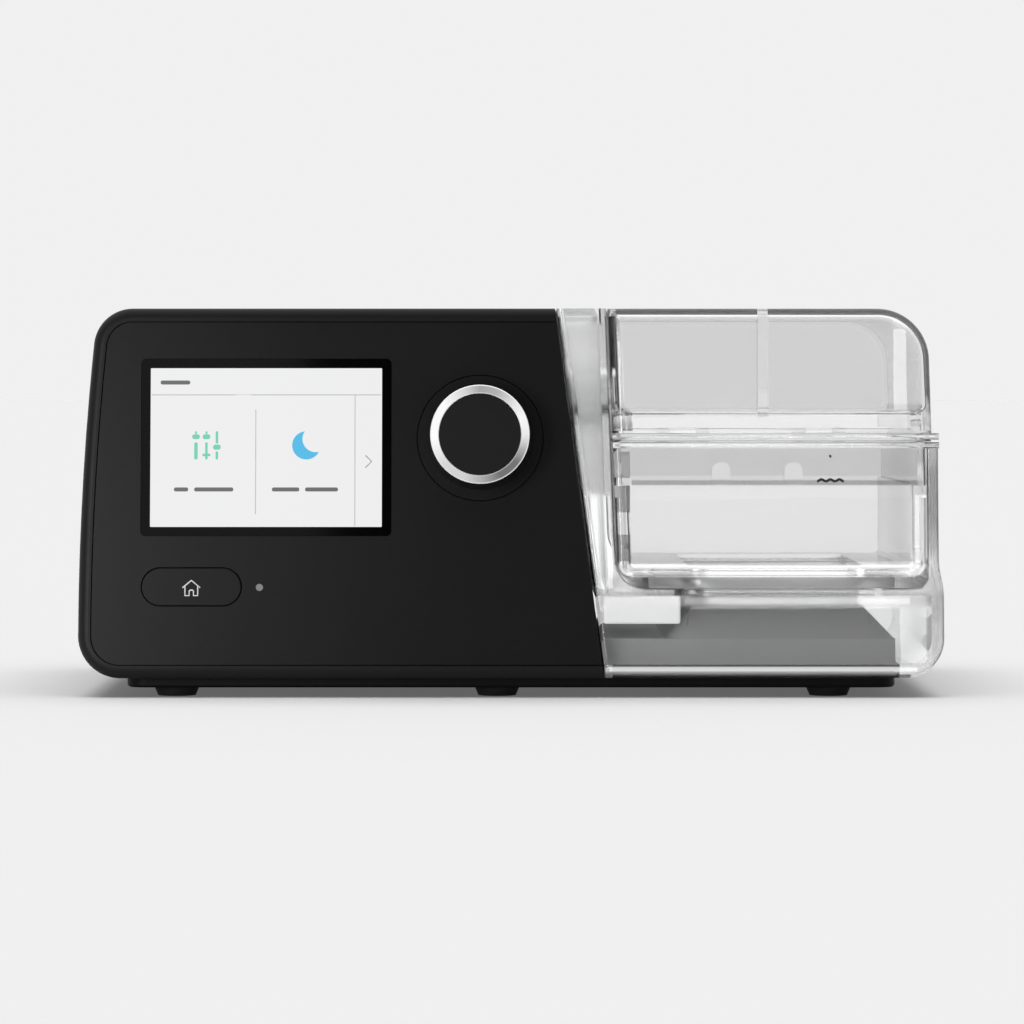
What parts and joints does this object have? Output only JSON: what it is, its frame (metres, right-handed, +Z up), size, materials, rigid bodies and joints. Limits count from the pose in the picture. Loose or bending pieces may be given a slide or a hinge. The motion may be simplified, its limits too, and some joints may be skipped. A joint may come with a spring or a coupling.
{
  "type": "cpap machine",
  "caption": "Bedside breathing-therapy blower with touch display, turn-and-press knob, home button and a clear side water chamber that slides off and has a hinged lid.",
  "frame": {"origin": "centre of the whole box at the level the feet stand on", "axes": "+X to the right seen from the front, towards the water chamber; the front faces -Y; +Z up"},
  "size_m": [0.265, 0.18, 0.119],
  "materials": {
    "black_shell": "fine-textured moulded plastic",
    "black_panel": "smooth satin moulded plastic",
    "black_base": "moulded plastic",
    "black_rubber": "soft rubber",
    "steel": "plain",
    "screen_glass": "glossy black-bordered window",
    "screen": "lit display",
    "bracket": "moulded",
    "circuit_board": "glass-fibre board with green resist",
    "components": "mixed parts",
    "knob_black": "satin",
    "ring_metal": "turned and polished",
    "button_black": "satin",
    "light_pipe": "diffusing",
    "card": "moulded",
    "filter_fibre": "pleated fibre",
    "foam": "open-cell foam",
    "light_plastic": "moulded",
    "motor_metal": "plated can with windings",
    "clear_plastic": "clear polycarbonate",
    "grey_plastic": "moulded heat-resistant plastic",
    "heater_metal": "anodised",
    "tray_metal": "drawn",
    "catch_plastic": "frosted translucent plastic",
    "clear_seal": "translucent silicone"
  },
  "bodies": {
    "unit": {"main_housing": "black_shell", "rear_cover": "black_shell", "front_panel": "black_panel", "base_plate": "black_base", "rubber_feet": "black_rubber", "base_screws": "steel", "knob_bezel": "black_panel", "display_glass": "screen_glass", "lcd_panel": "screen", "display_holder": "bracket", "control_board": "circuit_board", "encoder_body": "steel", "home_switch": "components", "status_light": "light_pipe", "main_board": "circuit_board", "board_parts": "components", "card_socket": "steel", "power_socket": "black_base", "power_pins": "steel", "air_filter": "filter_fibre", "silencer_box": "light_plastic", "silencer_foam": "foam", "silencer_cover": "light_plastic", "blower_lower": "light_plastic", "blower_upper": "light_plastic", "blower_mounts": "black_rubber", "blower_motor": "motor_metal", "supply_duct": "black_rubber", "return_duct": "black_rubber", "hose_outlet": "grey_plastic", "heater_block": "grey_plastic", "heater_plate": "heater_metal"},
    "chamber": {"chamber_cradle": "clear_plastic", "chamber_catch": "catch_plastic", "port_seals": "clear_seal", "chamber_tub": "clear_plastic", "hinge_pins": "steel", "metal_tray": "tray_metal", "tray_seal": "clear_seal"},
    "lid": {"chamber_lid": "clear_plastic", "lid_seal": "clear_seal"},
    "knob_plunger": {"encoder_plunger": "bracket"},
    "knob": {"knob_body": "knob_black", "knob_ring": "ring_metal", "knob_cap": "knob_black", "encoder_shaft": "steel"},
    "home_key": {"home_button": "button_black"},
    "blower_rotor": {"impeller": "light_plastic", "motor_shaft": "steel"},
    "filter_door": {"filter_cover": "black_shell"},
    "card": {"memory_card": "card"}
  },
  "joints": [
    {"name": "chamber_slide", "type": "slide", "parent": "unit", "child": "chamber", "axis": [1, 0, 0], "range_m": [0, 0.11]},
    {"name": "lid_hinge", "type": "hinge", "parent": "chamber", "child": "lid", "pos_m": [0.081, 0.0722, 0.0784], "axis": [-1, 0, 0], "range_deg": [0, 95]},
    {"name": "knob_press", "type": "slide", "parent": "unit", "child": "knob_plunger", "axis": [0, 0.9945, -0.1045], "range_m": [0, 0.0006], "stiffness_N_per_m": 4000},
    {"name": "knob_turn", "type": "hinge", "parent": "knob_plunger", "child": "knob", "pos_m": [-0.00945, -0.07611, 0.07927], "axis": [0, -0.9945, 0.1045], "continuous": true},
    {"name": "home_press", "type": "slide", "parent": "unit", "child": "home_key", "axis": [0, 0.9945, -0.1045], "range_m": [0, 0.0006], "stiffness_N_per_m": 4000},
    {"name": "blower_spin", "type": "hinge", "parent": "unit", "child": "blower_rotor", "pos_m": [-0.078, -0.002, 0.07], "axis": [0, 0, 1], "continuous": true},
    {"name": "filter_door_hinge", "type": "hinge", "parent": "unit", "child": "filter_door", "pos_m": [-0.084, 0.0668, 0.0256], "axis": [-1, 0, 0], "range_deg": [0, 100]},
    {"name": "card_slide", "type": "slide", "parent": "unit", "child": "card", "axis": [-1, 0, 0], "range_m": [0, 0.034]}
  ]
}
